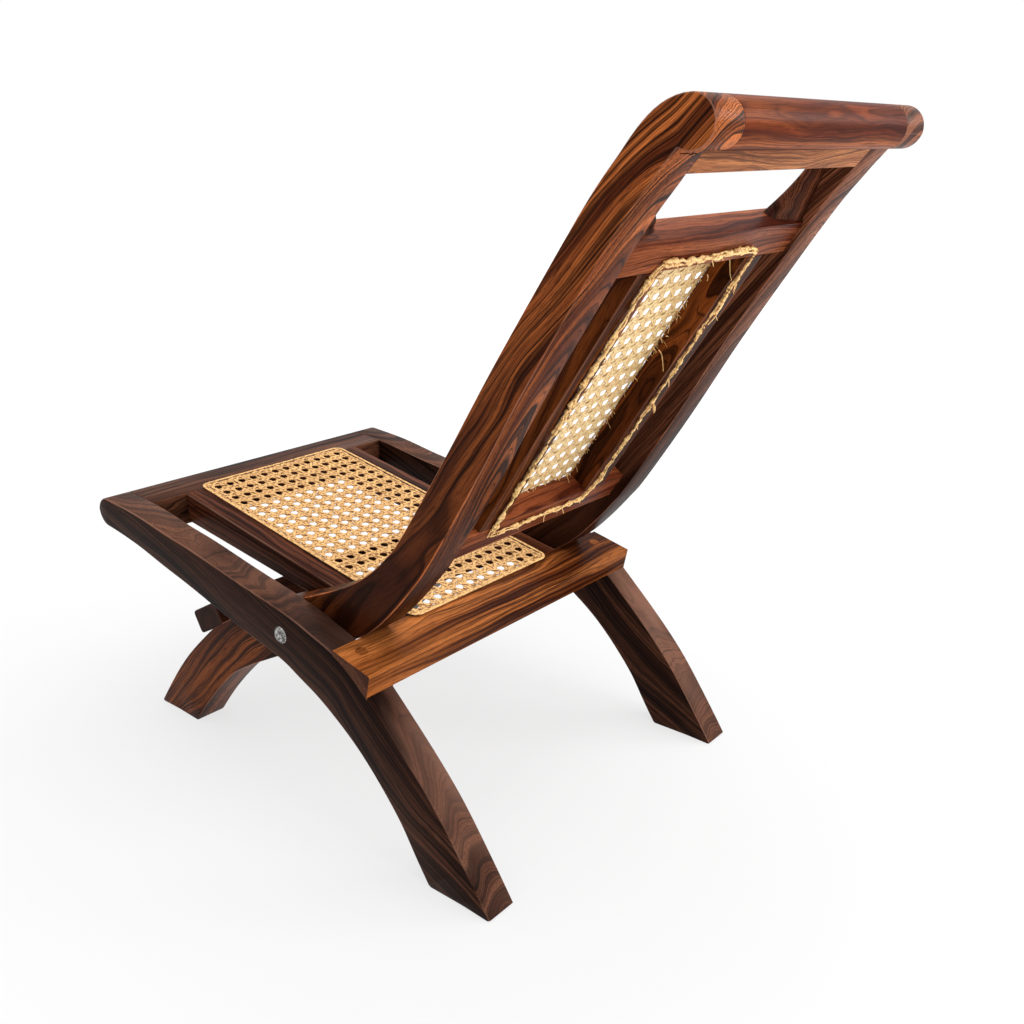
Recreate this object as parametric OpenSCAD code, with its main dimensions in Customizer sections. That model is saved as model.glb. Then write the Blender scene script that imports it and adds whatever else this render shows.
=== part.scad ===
// Low folding lounge chair of dark rosewood with a woven cane seat and back.
// Two rigid frames cross at a pair of pivot bolts. The seat frame carries the
// rear legs. The back frame carries the front legs and folds down onto the seat.
// Frame: +X is the sitter's left, -Y is the front, +Z is up, and the origin is
// on the floor at the middle of the chair. Side views are drawn from the pivot.

/* [Widths] */
// Width over the outside of the seat frame
seat_w = 500; // [400:5:640]
// Thickness of the side rails and rear legs
rail_t = 40; // [25:1:55]
// Thickness of the back stiles and front legs
stile_t = 45; // [28:1:60]
// Gap between a side rail and a stile, filled by a washer
washer_t = 1; // [0.6:0.1:3]
// Gap between a stile and the seat's inner rail
slot_gap = 6; // [3:0.5:12]
// Width of each inner rail of the seat
inner_rail_w = 38; // [25:1:50]

/* [Heights and reach] */
// Height of the pivot bolts above the floor
pivot_h = 239; // [200:1:290]
// Reach of the rear feet behind the pivot
rear_reach = 284; // [240:1:340]
// Reach of the front feet ahead of the pivot
front_reach = 320; // [270:1:380]
// Reach of the seat's front end ahead of the pivot
seat_reach = 375; // [330:1:450]
// Rise of the seat's front end above the pivot
seat_rise = 70; // [55:1:90]
// Height of the crest roll above the pivot
back_rise = 563; // [480:1:660]
// Distance of the crest roll behind the pivot
back_lean = 504; // [430:1:580]

/* [Member depths] */
// Depth of the seat rail at its rounded front end
nose_d = 41; // [30:1:46]
// Depth of the seat rail at the pivot
rail_d = 65; // [54:1:74]
// Depth of a rear leg at its foot
rear_foot_d = 76; // [60:1:90]
// Depth of a front leg at its foot
front_foot_d = 72; // [58:1:86]
// Depth of a stile at the pivot
stile_d = 64; // [54:1:72]
// Depth of a stile beside the cane panel
stile_top_d = 43; // [36:1:50]
// Diameter of the crest roll and of the rounded stile heads
roll_d = 42; // [34:1:50]

/* [Seat] */
// Front to back width of the front rail, measured along the seat
front_rail_w = 75; // [50:1:90]
// Front to back width of the rear rail
rear_rail_w = 62; // [45:1:80]
// Thickness of the rear rail
rear_rail_t = 29; // [22:1:36]
// Depth of the inner rails at the front
inner_front_d = 42; // [30:1:46]
// Depth of the inner rails at the rear
inner_rear_d = 25; // [20:1:30]
// Overlap of the seat cane onto the wood around its opening
seat_cane_lap = 11; // [8:0.5:15]
// Thickness of the woven cane
cane_t = 1.6; // [1:0.1:3]
// Width of the cane strip that edges a cane panel
binding_w = 5; // [3:0.5:8]
// Thickness of that strip
binding_t = 1; // [0.6:0.1:2]

/* [Back panel] */
// Height of the cane opening
panel_h = 358; // [300:1:400]
// Width of the cane opening
panel_w = 162; // [110:1:190]
// Width of the back's inner stiles
inner_stile_w = 37; // [25:1:45]
// Height of the mid rail and of the bottom rail
cross_h = 38; // [28:1:46]
// Depth of the panel's rails and inner stiles
panel_d = 30; // [22:1:34]
// Height of the head rail under the crest roll
head_rail_h = 31; // [22:1:40]
// Depth of the head rail
head_rail_d = 34; // [24:1:38]
// Distance of the panel's rear face behind the stile's centre line, at the bottom
panel_set = 10; // [6:0.5:14]
// Distance from the opening to the line of holes that the cane is laced through
lace_set = 12; // [9:0.5:15]

/* [Stretcher and hardware] */
// Front to back width of the stretcher
stretcher_w = 62; // [40:1:75]
// Thickness of the stretcher
stretcher_t = 33; // [22:1:40]
// Diameter of the pivot bolt's shank
bolt_d = 8; // [6:0.5:12]
// Diameter of the pivot bolt's domed head
bolt_head_d = 22; // [18:0.5:28]
// Diameter of the wooden peg that pins each end of the rear rail to its leg
peg_d = 16; // [12:0.5:20]
// Radial running clearance of the stiles on the bolts
run_clear = 0.1; // [0.05:0.01:0.1]

/* [Hidden] */
$fn = 64;
steps = 6;                                  // facets between two points of a curve
far = 2000;                                 // larger than the chair
clear = 0.3;                                // gap where parts rest on each other
tenon_l = 18;                               // length of the stub tenons
tenon_t = 12;                               // thickness of the stub tenons
tenon_w = 24;                               // width of the stub tenons
washer_d = 20;                              // diameter of the washers at the pivots
washer_gap = 0.1;                           // gap between a washer and its stile
nut_af = 13;                                // width of the pivot nuts across their flats
nut_t = 6.5;                                // thickness of the pivot nuts
nut_well_d = 19;                            // diameter of the recess round a pivot nut
nut_well = 9;                               // depth of that recess
head_h = 5;                                 // height of a pivot bolt's domed head
peg_l = 34;                                 // length of the rear rail's pegs
peg_back = 18;                              // distance from the rear rail's front edge to a peg
corner_r = 15;                              // corner radius of the cane panels
lace_d = 5;                                 // diameter of the lacing behind the back
knot_d = 9;                                 // diameter of the lacing's corner knots
round_r = 4;                                // rounding of the stretcher's edges
xo = seat_w / 2;                            // outer face of the side rails
xi = xo - rail_t;                           // inner face of the side rails
xb = xi - washer_t;                         // outer face of the stiles
xs = xb - stile_t;                          // inner face of the stiles
xr = xs - slot_gap;                         // outer face of the seat's inner rails
xc = xr - inner_rail_w;                     // half width of the seat's cane opening
roll_r = roll_d / 2;
nose_r = nose_d / 2;

// ---- curves -------------------------------------------------------------
// A station of a member is [y, z, depth] in the side view, from the pivot.

// Point at t on the smooth curve between b and c, with neighbours a and d
function blend(a, b, c, d, t) =
    0.5 * (2 * b + (c - a) * t + (2 * a - 5 * b + 4 * c - d) * t * t
           + (3 * b - a - 3 * c + d) * t * t * t);
// All the points of the smooth curve through k, whose ends only steer it
function curve(k) = [
    for (i = [1 : len(k) - 3]) for (j = [0 : steps - 1])
        blend(k[i - 1], k[i], k[i + 1], k[i + 2], j / steps),
    k[len(k) - 2]
];
function unit(v) = v / norm(v);
function flat(p) = [p[0], p[1]];
// Direction of the curve c at its point i
function along(c, i) = unit(flat(c[min(i + 1, len(c) - 1)]) - flat(c[max(i - 1, 0)]));
// Points of c moved sideways by half its depth: side is 1 for above, -1 for below
function edge(c, side) = [
    for (i = [0 : len(c) - 1])
        flat(c[i]) + side * c[i][2] / 2 * [-along(c, i)[1], along(c, i)[0]]
];
function backwards(l) = [for (i = [len(l) - 1 : -1 : 0]) l[i]];
function arc(c, r, a0, a1, n) =
    [for (i = [0 : n]) c + r * [cos(a0 + (a1 - a0) * i / n), sin(a0 + (a1 - a0) * i / n)]];
// Point at t on the curve from a towards b and into d from c
function bezier(a, b, c, d, t) =
    pow(1 - t, 3) * a + 3 * t * pow(1 - t, 2) * b + 3 * t * t * (1 - t) * c + pow(t, 3) * d;

// ---- side rail with its rear leg -----------------------------------------
// Shares of the reach and rise, so that the curve keeps its sweep
function ahead(fy, fz, d) = [-fy * seat_reach, fz * seat_rise, d];
function down_rear(fy, fz, d) = [fy * rear_reach, -fz * pivot_h, d];
mid_leg_d = (rail_d + rear_foot_d) / 2;
rail_line = curve([
    ahead(1.20, 1.08, nose_d), ahead(1, 1, nose_d), ahead(0.81, 0.875, nose_d + 4.5),
    ahead(0.63, 0.68, nose_d + 9.5), ahead(0.48, 0.53, rail_d - 10), ahead(0.25, 0.26, rail_d - 4),
    [0, -0.5, rail_d + 1], down_rear(0.153, 0.061, rail_d + 6), down_rear(0.334, 0.152, rail_d + 10.5),
    down_rear(0.55, 0.35, mid_leg_d - 2.5), down_rear(0.76, 0.603, mid_leg_d),
    down_rear(0.9, 0.833, rear_foot_d), down_rear(1.115, 1.21, rear_foot_d),
    down_rear(1.3, 1.6, rear_foot_d)
]);
nose = flat(rail_line[0]);
nose_a = atan2(along(rail_line, 0)[1], along(rail_line, 0)[0]);
rail_outline = concat(
    backwards(edge(rail_line, 1)),
    arc(nose, nose_r, nose_a + 90, nose_a + 270, 24),
    edge(rail_line, -1)
);

// ---- stile with its front leg --------------------------------------------
function down_front(fy, fz, d) = [-fy * front_reach, -fz * pivot_h, d];
function up(fy, fz, d) = [fy * back_lean, fz * back_rise, d];
stile_line = curve([
    down_front(1.27, 1.5, front_foot_d), down_front(1.13, 1.22, front_foot_d),
    down_front(0.865, 0.768, front_foot_d - 1), down_front(0.656, 0.487, stile_d + 3.5),
    down_front(0.522, 0.351, stile_d + 3), down_front(0.244, 0.146, stile_d + 3),
    [0, 0, stile_d], up(0.145, 0.06, stile_d - 2), up(0.208, 0.094, stile_d - 6),
    up(0.27, 0.14, stile_top_d + 8.5), up(0.329, 0.194, stile_top_d + 4),
    up(0.377, 0.247, stile_top_d + 3), up(0.502, 0.414, stile_top_d + 1.5),
    up(0.628, 0.592, stile_top_d - 1.5), up(0.745, 0.748, stile_top_d - 3.5),
    up(0.8465, 0.8785, stile_top_d - 5), up(0.9135, 0.952, stile_top_d - 5.5),
    up(0.96, 1.01, stile_top_d - 5.5)
]);
head = [back_lean, back_rise];
stile_front = edge(stile_line, 1);
stile_rear = edge(stile_line, -1);
top_way = along(stile_line, len(stile_line) - 1);
crown_pull = 25;                            // how long the crown keeps each end's direction
crown = [for (i = [1 : 9]) bezier(stile_front[len(stile_front) - 1],
    stile_front[len(stile_front) - 1] + crown_pull * top_way,
    head + [-crown_pull, roll_r], head + [0, roll_r], i / 10)];
head_end_a = -120;                          // where the head's round meets the rear edge
stile_outline = concat(stile_front, crown, arc(head, roll_r, 90, head_end_a, 30), backwards(stile_rear));

// ---- planes that the rails are set out from --------------------------------
// The rear rail's top front edge stops the stiles, just clear of them at rest.
rest_i = 6 * steps + 1;
rear_rail_at = stile_rear[rest_i] + clear * [along(stile_line, rest_i)[1], -along(stile_line, rest_i)[0]];
rear_rail_a = -12.6;                        // slope of the rear rail's top
rear_way = [cos(rear_rail_a), sin(rear_rail_a)];
rear_down = [sin(rear_rail_a), -cos(rear_rail_a)];
rail_top = edge(rail_line, 1);
function top_at(y) = lookup(y, [for (p = rail_top) p]);
seat_front_y = nose[0] - nose_r + front_rail_w;
seat_front = [seat_front_y, top_at(seat_front_y)];
front_rail_mid = nose + (front_rail_w / 2 - nose_r) * [cos(nose_a), sin(nose_a)];

// Panel plane of the back: its rear face, from the bottom rail's top edge upwards
low_i = 10 * steps;
high_i = 14 * steps;
panel_shift = 7;                            // from the curve's point up to the opening's lower edge
panel_lean = 0.45;                          // how much further than the stiles the panel leans back
panel_run = stile_line[high_i] - stile_line[low_i];
panel_a = atan2(panel_run[1], panel_run[0]) - panel_lean;
panel_way = [cos(panel_a), sin(panel_a)];
panel_in = [-panel_way[1], panel_way[0]];
panel_at = flat(stile_line[low_i]) - panel_set * panel_in + panel_shift * panel_way;
cane_x = panel_w / 2;                       // half width of the back's cane opening
lace_x = cane_x + lace_set;                 // the lacing's distance from the middle
stile_x = cane_x + inner_stile_w;           // outer face of the back's inner stiles
grip_s = panel_h + cross_h;                 // bottom of the hand-hold up the panel

// Head rail: its rear bottom edge and the direction of its rear face
head_rail_at = stile_rear[len(stile_rear) - 1];
head_grip = (head_rail_at - panel_at) * panel_way;
head_way = unit(head + roll_r * [cos(head_end_a), sin(head_end_a)] - head_rail_at);
head_in = [-head_way[1], head_way[0]];

// Stretcher: it lies on the top of the front legs in a shallow flat
stretcher_a = 29;
stretcher_sink = 2.5;                       // depth of the flat in the legs
stretcher_i = 3 * steps;                    // the point of the leg that it rests on
stretcher_at = stile_front[stretcher_i];

// Middle of the chair from front to back, between its foremost and rearmost points
mid_y = (nose[0] - nose_r + head[0] + roll_r) / 2;

rosewood = [0.36, 0.17, 0.12];
dark_wood = [0.27, 0.13, 0.1];
cane_tone = [0.83, 0.66, 0.42];
lace_tone = [0.76, 0.62, 0.42];
steel = [0.75, 0.75, 0.77];

// ---- helpers ----------------------------------------------------------------
// Everything is drawn from the pivot, then set down on the floor
module stand() translate([0, -mid_y, pivot_h]) children();
// A side view drawn flat becomes a solid from x0 to x1
module across(x0, x1) translate([x0, 0, 0]) rotate([90, 0, 90]) linear_extrude(x1 - x0) children();
module above_floor() intersection() {
    children();
    translate([-far / 2, -far / 2, -pivot_h]) cube(far);
}
// A stub tenon that points away from the middle, from x0, turned by a in the side view
module side_tenon(x0, at, a, w) translate([x0, at[0], at[1]]) rotate([a, 0, 0])
    translate([0, -w / 2, -tenon_t / 2]) cube([tenon_l, w, tenon_t]);
// The panel's own frame: x across, y backwards from its rear face, z up the panel
module on_panel() translate([0, panel_at[0], panel_at[1]]) rotate([panel_a - 90, 0, 0]) children();
module rounded(x0, y0, x1, y1, r) {
    translate([x0 + r, y0]) square([x1 - x0 - 2 * r, y1 - y0]);
    translate([x0, y0 + r]) square([x1 - x0, y1 - y0 - 2 * r]);
    for (x = [x0 + r, x1 - r]) for (y = [y0 + r, y1 - r]) translate([x, y]) circle(r);
}
module pivot_bore(d, x0, x1) translate([x0, 0, 0]) rotate([0, 90, 0]) cylinder(h = x1 - x0, d = d);

// ---- seat frame -------------------------------------------------------------
module front_rail_tenon() side_tenon(xi, front_rail_mid, nose_a, front_rail_w * 0.5);
module rear_rail_board(x0, x1) translate([x0, rear_rail_at[0], rear_rail_at[1]]) rotate([rear_rail_a, 0, 0])
    translate([0, 0, -rear_rail_t]) cube([x1 - x0, rear_rail_w, rear_rail_t]);
module rail_peg() translate([xo - rail_t * 0.65, rear_rail_at[0], rear_rail_at[1]])
    rotate([rear_rail_a, 0, 0])
    translate([0, peg_back, -peg_l]) cylinder(h = peg_l, d = peg_d);

module side_rail() difference() {
    above_floor() across(xi, xo) polygon(rail_outline);
    front_rail_tenon();
    pivot_bore(bolt_d, xi - 1, xo + 1);
    rail_peg();
}
// What the rear rail gives up at one end: its lap over the leg, and the peg's hole
module rear_rail_lap() {
    across(xi, xo + 1) polygon(rail_outline);
    rail_peg();
}
inner_x = (xc + xr) / 2;
inner_tenon_w = inner_rail_w - 16;
module inner_front_tenon()
    translate([inner_x - inner_tenon_w / 2, seat_front[0] - tenon_l, seat_front[1] - inner_front_d / 2 - tenon_t / 2])
    cube([inner_tenon_w, tenon_l, tenon_t]);
module inner_rear_tenon() translate([inner_x - inner_tenon_w / 2, rear_rail_at[0], rear_rail_at[1]])
    rotate([rear_rail_a, 0, 0])
    translate([0, 0, -inner_rear_d / 2 - tenon_t / 2]) cube([inner_tenon_w, tenon_l, tenon_t]);
module inner_rail() {
    across(xc, xr) polygon([
        seat_front, rear_rail_at, rear_rail_at + inner_rear_d * rear_down, seat_front - [0, inner_front_d]
    ]);
    inner_front_tenon();
    inner_rear_tenon();
}

// The cane lies on the wood and bends down over the front and rear rails
cane_front_y = seat_front[0] - seat_cane_lap;
module seat_sheet(lift, t) across(-xo, xo) polygon([for (p = [
    [cane_front_y, top_at(cane_front_y)] + [0, lift], seat_front + [0, lift], rear_rail_at + [0, lift],
    rear_rail_at + seat_cane_lap * rear_way + [0, lift],
    rear_rail_at + seat_cane_lap * rear_way + [0, lift + t], rear_rail_at + [0, lift + t],
    seat_front + [0, lift + t], [cane_front_y, top_at(cane_front_y)] + [0, lift + t]
]) p]);
module seat_plan(inset) translate([0, 0, -pivot_h]) linear_extrude(2 * pivot_h)
    rounded(inset - xc - seat_cane_lap, cane_front_y + inset, xc + seat_cane_lap - inset,
        rear_rail_at[0] + seat_cane_lap * rear_way[0] - inset, corner_r - inset);

module seat_side_rail_left() color(rosewood) stand() side_rail();
module seat_side_rail_right() color(rosewood) stand() mirror([1, 0, 0]) side_rail();
module seat_front_rail() color(rosewood) stand() difference() {
    union() {
        across(-xi, xi) intersection() {
            polygon(rail_outline);
            translate([seat_front[0] - far, -far / 2]) square(far);
        }
        front_rail_tenon();
        mirror([1, 0, 0]) front_rail_tenon();
    }
    inner_front_tenon();
    mirror([1, 0, 0]) inner_front_tenon();
}
module seat_rear_rail() color(rosewood) stand() difference() {
    rear_rail_board(-xo, xo);
    rear_rail_lap();
    mirror([1, 0, 0]) rear_rail_lap();
    inner_rear_tenon();
    mirror([1, 0, 0]) inner_rear_tenon();
}
module seat_inner_rail_left() color(dark_wood) stand() inner_rail();
module seat_inner_rail_right() color(dark_wood) stand() mirror([1, 0, 0]) inner_rail();
module seat_cane() color(cane_tone) stand() intersection() {
    seat_sheet(clear, cane_t);
    seat_plan(0);
}
module seat_cane_binding() color(lace_tone) stand() intersection() {
    seat_sheet(clear + cane_t, binding_t);
    difference() {
        seat_plan(0);
        seat_plan(binding_w);
    }
}
module rear_rail_peg_left() color(dark_wood) stand() rail_peg();
module rear_rail_peg_right() color(dark_wood) stand() mirror([1, 0, 0]) rail_peg();

// ---- pivot hardware ----------------------------------------------------------
nut_x = xs + nut_well - clear - nut_t;      // inner face of a pivot nut
dome_r = (bolt_head_d * bolt_head_d / 4 + head_h * head_h) / (2 * head_h);
dome_a = asin(bolt_head_d / 2 / dome_r);    // half angle of the dome
dome = [for (i = [0 : 8])
    [0, xo + head_h - dome_r] + dome_r * [sin(dome_a * (1 - i / 8)), cos(dome_a * (1 - i / 8))]];
module bolt() rotate([0, 90, 0]) rotate_extrude() polygon(concat(
    [[0, nut_x - 1], [bolt_d / 2, nut_x - 1], [bolt_d / 2, xo]], dome
));
module washer() difference() {
    pivot_bore(washer_d, xi - washer_t + washer_gap, xi);
    pivot_bore(bolt_d, xi - washer_t - 1, xi + 1);
}
module nut() difference() {
    translate([nut_x, 0, 0]) rotate([0, 90, 0]) cylinder(h = nut_t, d = nut_af / cos(30), $fn = 6);
    pivot_bore(bolt_d, nut_x - 1, nut_x + nut_t + 1);
}
module pivot_bolt_left() color(steel) stand() bolt();
module pivot_bolt_right() color(steel) stand() mirror([1, 0, 0]) bolt();
module pivot_washer_left() color(steel) stand() washer();
module pivot_washer_right() color(steel) stand() mirror([1, 0, 0]) washer();
module pivot_nut_left() color(steel) stand() nut();
module pivot_nut_right() color(steel) stand() mirror([1, 0, 0]) nut();

// ---- back frame ---------------------------------------------------------------
module panel_tenon(s) on_panel() translate([xs, -panel_d / 2 - tenon_t / 2, s - tenon_w / 2])
    cube([tenon_l, tenon_t, tenon_w]);
module head_tenon() side_tenon(xs, head_rail_at + head_rail_h / 2 * head_way + head_rail_d / 2 * head_in,
    atan2(head_way[1], head_way[0]), head_rail_h * 0.6);
module roll_dowel() translate([xs, head[0], head[1]]) rotate([0, 90, 0])
    cylinder(h = tenon_l, d = roll_d / 2);
module stretcher_bar() translate([0, stretcher_at[0], stretcher_at[1]]) rotate([stretcher_a, 0, 0])
    across(-xb, xb) rounded(-stretcher_w, -stretcher_sink, 0, stretcher_t - stretcher_sink, round_r);

module stile() difference() {
    above_floor() across(xs, xb) polygon(stile_outline);
    panel_tenon(-cross_h / 2);
    panel_tenon(panel_h + cross_h / 2);
    head_tenon();
    roll_dowel();
    stretcher_bar();
    pivot_bore(bolt_d + 2 * run_clear, xs - 1, xb + 1);
    pivot_bore(nut_well_d, xs - 1, xs + nut_well);
}
module cross_rail(s) {
    on_panel() translate([-xs, -panel_d, s - cross_h / 2]) cube([2 * xs, panel_d, cross_h]);
    panel_tenon(s);
    mirror([1, 0, 0]) panel_tenon(s);
}
// Stub tenon of an inner stile across the joint at height s
module inner_tenon(s) on_panel()
    translate([(cane_x + stile_x) / 2 - tenon_w / 2, -panel_d / 2 - tenon_t / 2, s - tenon_l])
    cube([tenon_w, tenon_t, 2 * tenon_l]);
module inner_stile() {
    on_panel() translate([cane_x, -panel_d, 0]) cube([inner_stile_w, panel_d, panel_h]);
    inner_tenon(0);
    inner_tenon(panel_h);
}
// Curved corner piece between the mid rail, a stile and the head rail. Its outline
// is [x from the stile, height above the mid rail].
bracket_w = 56;                             // length of its foot along the mid rail
bracket_set = 3;                            // distance of its rear face in from the panel's
bracket_front = 25;                         // depth of its front face from the panel's rear
grip_h = head_grip - grip_s;
bracket_hollow = [for (i = [0 : 12]) bezier([bracket_w, 0], [bracket_w * 0.75, grip_h * 0.22],
    [bracket_w * 0.4, grip_h * 0.5], [bracket_w * 0.45, grip_h - 1], i / 12)];
module bracket() on_panel() difference() {
    translate([xs, 0, grip_s]) rotate([90, 0, 0]) linear_extrude(bracket_front)
        polygon(concat([for (p = bracket_hollow) [-p[0], p[1]]], [[0, grip_h - 1], [0, 0]]));
    translate([xs, -bracket_set, grip_s]) rotate([11, 0, 9.7]) translate([-far / 2, 0, -far / 2]) cube(far);
}
module head_bar() across(-xs, xs) difference() {
    polygon([
        head_rail_at, head_rail_at + head_rail_h * head_way,
        head_rail_at + head_rail_h * head_way + head_rail_d * head_in, head_rail_at + head_rail_d * head_in
    ]);
    translate(head) circle(roll_r);
}

// The back's cane covers the front of the opening and has torn along its bottom
// edge and along the edge at the sitter's right. Each tear is a run of teeth.
function tooth(i) = 3 + 2.5 * sin(137 * i) + 1.5 * sin(71 * i);
torn_n = 22;
cane_edge = lace_x + binding_w / 2;
torn_right = [for (i = [0 : torn_n]) [
    -cane_x - tooth(i), panel_h - i * (panel_h - lace_set) / torn_n
]];
torn_bottom = [for (i = [1 : torn_n / 2]) [
    -cane_x + i * (cane_x + lace_x) * 2 / (torn_n + 2), -tooth(i + torn_n)
]];
back_cane_outline = concat([
    [cane_edge, -tooth(0)], [cane_edge, panel_h + lace_set + binding_w / 2],
    [-cane_x - lace_set / 2, panel_h + lace_set + binding_w / 2]
], torn_right, torn_bottom);
module on_front(lift, t) on_panel() translate([0, -panel_d - lift, 0]) rotate([90, 0, 0])
    linear_extrude(t) children();

module back_stile_left() color(rosewood) stand() stile();
module back_stile_right() color(rosewood) stand() mirror([1, 0, 0]) stile();
module crest_roll() color(dark_wood) stand() {
    translate([-xs, head[0], head[1]]) rotate([0, 90, 0]) cylinder(h = 2 * xs, r = roll_r);
    roll_dowel();
    mirror([1, 0, 0]) roll_dowel();
}
module head_rail() color(dark_wood) stand() {
    head_bar();
    head_tenon();
    mirror([1, 0, 0]) head_tenon();
}
module mid_rail() color(dark_wood) stand() difference() {
    cross_rail(panel_h + cross_h / 2);
    inner_tenon(panel_h);
    mirror([1, 0, 0]) inner_tenon(panel_h);
}
module bottom_rail() color(dark_wood) stand() difference() {
    cross_rail(-cross_h / 2);
    inner_tenon(0);
    mirror([1, 0, 0]) inner_tenon(0);
}
module back_inner_stile_left() color(rosewood) stand() inner_stile();
module back_inner_stile_right() color(rosewood) stand() mirror([1, 0, 0]) inner_stile();
module handhold_bracket_left() color(rosewood) stand() bracket();
module handhold_bracket_right() color(rosewood) stand() mirror([1, 0, 0]) bracket();
module back_cane() color(cane_tone) stand() on_front(clear, cane_t) polygon(back_cane_outline);
// Strip over the holes, left only along the two edges that still hold
module back_cane_binding() color(lace_tone) stand() on_front(clear + cane_t, binding_t) {
    translate([cane_edge - binding_w, 0]) square([binding_w, panel_h + lace_set + binding_w / 2]);
    translate([-cane_x, panel_h + lace_set - binding_w / 2]) square([2 * cane_x + lace_set, binding_w]);
}
// Twisted lacing round the back of the opening, with a knot at each corner
module back_cane_lacing() color(lace_tone) stand() on_panel() translate([0, lace_d / 2 + clear, 0]) {
    for (x = [-lace_x, lace_x]) translate([x, 0, -lace_set]) cylinder(h = panel_h + 2 * lace_set, d = lace_d);
    for (s = [-lace_set, panel_h + lace_set]) translate([-lace_x, 0, s]) rotate([0, 90, 0])
        cylinder(h = 2 * lace_x, d = lace_d);
    for (x = [-lace_x, lace_x]) for (s = [-lace_set, panel_h + lace_set])
        translate([x, 0, s]) intersection() {
        sphere(d = knot_d);
        translate([-knot_d, -lace_d / 2, -knot_d]) cube(2 * knot_d);
    }
}
module front_stretcher() color(rosewood) stand() stretcher_bar();

seat_side_rail_left();
seat_side_rail_right();
seat_front_rail();
seat_rear_rail();
seat_inner_rail_left();
seat_inner_rail_right();
seat_cane();
seat_cane_binding();
rear_rail_peg_left();
rear_rail_peg_right();
back_stile_left();
back_stile_right();
crest_roll();
head_rail();
mid_rail();
bottom_rail();
back_inner_stile_left();
back_inner_stile_right();
handhold_bracket_left();
handhold_bracket_right();
back_cane();
back_cane_lacing();
back_cane_binding();
front_stretcher();
pivot_bolt_left();
pivot_bolt_right();
pivot_washer_left();
pivot_washer_right();
pivot_nut_left();
pivot_nut_right();
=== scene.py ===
"""Folding lounge chair of rosewood and cane: the looks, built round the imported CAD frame.

Side views are laid out in millimetres from the pivot bolts: y backwards, z upwards.
"""
import math
import random

import bmesh
import bpy
from mathutils import Matrix, Vector

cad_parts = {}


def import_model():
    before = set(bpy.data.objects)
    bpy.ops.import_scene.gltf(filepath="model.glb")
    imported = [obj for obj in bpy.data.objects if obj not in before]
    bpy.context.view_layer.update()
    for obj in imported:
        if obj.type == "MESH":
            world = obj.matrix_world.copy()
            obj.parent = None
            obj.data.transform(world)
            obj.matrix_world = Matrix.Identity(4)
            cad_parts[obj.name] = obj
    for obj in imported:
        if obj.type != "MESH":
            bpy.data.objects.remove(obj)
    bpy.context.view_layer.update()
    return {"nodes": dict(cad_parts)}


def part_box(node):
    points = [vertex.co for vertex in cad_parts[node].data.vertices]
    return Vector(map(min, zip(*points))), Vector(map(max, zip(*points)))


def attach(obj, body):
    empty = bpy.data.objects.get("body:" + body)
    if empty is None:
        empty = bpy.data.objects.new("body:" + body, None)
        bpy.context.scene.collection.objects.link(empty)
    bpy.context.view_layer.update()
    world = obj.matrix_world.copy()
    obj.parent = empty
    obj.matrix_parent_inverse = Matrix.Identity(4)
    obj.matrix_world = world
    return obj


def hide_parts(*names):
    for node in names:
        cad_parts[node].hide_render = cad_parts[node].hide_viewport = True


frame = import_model()
nodes = frame["nodes"]
SEAT, BACK = "seat_frame", "back_frame"

# ---- sizes, as the CAD has them ---------------------------------------------
washer_low, washer_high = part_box("pivot_washer_left")
PIVOT_Y = (washer_low.y + washer_high.y) / 2 * 1000
PIVOT_Z = (washer_low.z + washer_high.z) / 2 * 1000
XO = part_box("seat_side_rail_left")[1].x * 1000     # outer face of a side rail
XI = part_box("seat_side_rail_left")[0].x * 1000     # inner face of a side rail
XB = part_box("back_stile_left")[1].x * 1000         # outer face of a stile
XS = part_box("back_stile_left")[0].x * 1000         # inner face of a stile
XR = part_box("seat_inner_rail_left")[1].x * 1000    # outer face of the seat's inner rails
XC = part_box("seat_inner_rail_left")[0].x * 1000    # half width of the seat's opening
REACH, RISE = 375, 70                              # the seat's nose from the pivot
REAR, FRONT, PIVOT = 284, 320, 239                 # the feet from the pivot
LEAN, BACK_RISE = 504, 563                         # the crest roll from the pivot
NOSE_D, RAIL_D, FOOT_D = 41, 65, 76
STILE_D, TOP_D, LEG_D, ROLL = 64, 43, 72, 21


def ahead(y, z, d):
    return (-y * REACH, z * RISE, d)


def down_rear(y, z, d):
    return (y * REAR, -z * PIVOT, d)


def down_front(y, z, d):
    return (-y * FRONT, -z * PIVOT, d)


def up(y, z, d):
    return (y * LEAN, z * BACK_RISE, d)


def curve(stations, steps):
    """Smooth curve through the stations; the first and last only steer it."""
    out = []
    for i in range(1, len(stations) - 2):
        a, b, c, d = (Vector(p) for p in stations[i - 1:i + 3])
        for j in range(steps):
            t = j / steps
            out.append(0.5 * (2 * b + (c - a) * t + (2 * a - 5 * b + 4 * c - d) * t * t
                              + (3 * b - a - 3 * c + d) * t ** 3))
    out.append(Vector(stations[-2]))
    return out


def edges_of(line):
    """The member's upper and lower edges, as lists of 2-D points."""
    upper, lower = [], []
    for i, p in enumerate(line):
        a, b = line[max(i - 1, 0)], line[min(i + 1, len(line) - 1)]
        way = Vector((b.x - a.x, b.y - a.y)).normalized()
        side = Vector((-way.y, way.x)) * p.z / 2
        upper.append(p.xy + side)
        lower.append(p.xy - side)
    return upper, lower


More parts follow.
